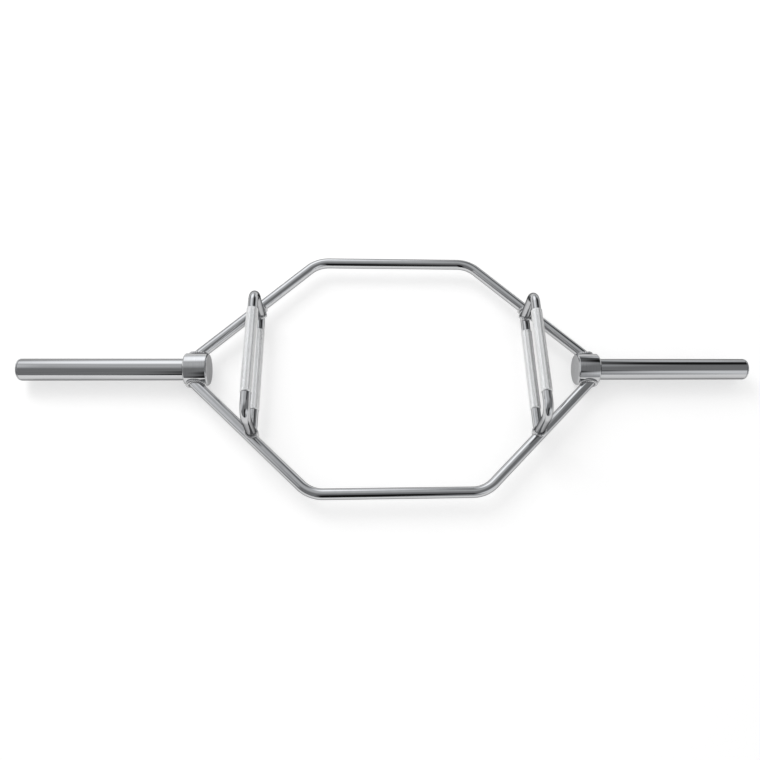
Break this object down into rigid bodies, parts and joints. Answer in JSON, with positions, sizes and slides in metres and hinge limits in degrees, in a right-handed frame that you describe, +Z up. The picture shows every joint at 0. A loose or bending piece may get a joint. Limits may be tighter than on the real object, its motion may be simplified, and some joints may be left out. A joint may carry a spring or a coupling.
{
  "type": "hex trap bar",
  "caption": "Chromed six-sided lifting bar with low and raised knurled handles at its sides and turning sleeves for weight plates.",
  "frame": {"origin": "on the floor, under the middle of the frame", "axes": "+X along the sleeves to the lifter's right, +Y to the rear, +Z up"},
  "size_m": [1.7096, 0.633, 0.1605],
  "materials": {
    "chrome": "bright chrome plate, lightly handled",
    "knurled_chrome": "fine diamond knurl under chrome plate",
    "weld_chrome": "weld bead under chrome plate",
    "machined_steel": "ground and oiled",
    "bearing_bronze": "turned bronze",
    "zinc_steel": "zinc plated",
    "nylon": "smooth black nylon"
  },
  "bodies": {
    "frame": {"front_frame_bar": "chrome", "rear_frame_bar": "chrome", "left_hub": "chrome", "left_lower_handle_bar": "chrome", "left_raised_handle_bar": "chrome", "left_lower_grip": "knurled_chrome", "left_raised_grip": "knurled_chrome", "left_hub_welds": "weld_chrome", "left_handle_welds": "weld_chrome", "left_spindle": "machined_steel", "left_thrust_washer": "nylon", "right_hub": "chrome", "right_lower_handle_bar": "chrome", "right_raised_handle_bar": "chrome", "right_lower_grip": "knurled_chrome", "right_raised_grip": "knurled_chrome", "right_hub_welds": "weld_chrome", "right_handle_welds": "weld_chrome", "right_spindle": "machined_steel", "right_thrust_washer": "nylon", "retaining_washers": "zinc_steel", "retaining_bolts": "zinc_steel"},
    "left_sleeve_group": {"left_sleeve": "chrome", "left_inner_bushing": "bearing_bronze", "left_outer_bushing": "bearing_bronze", "left_end_cap": "chrome"},
    "right_sleeve_group": {"right_sleeve": "chrome", "right_inner_bushing": "bearing_bronze", "right_outer_bushing": "bearing_bronze", "right_end_cap": "chrome"}
  },
  "joints": [
    {"name": "left_sleeve_spin", "type": "hinge", "parent": "frame", "child": "left_sleeve_group", "pos_m": [-0.66855, 0, 0.0375], "axis": [1, 0, 0], "continuous": true},
    {"name": "right_sleeve_spin", "type": "hinge", "parent": "frame", "child": "right_sleeve_group", "pos_m": [0.66855, 0, 0.0375], "axis": [1, 0, 0], "continuous": true}
  ]
}
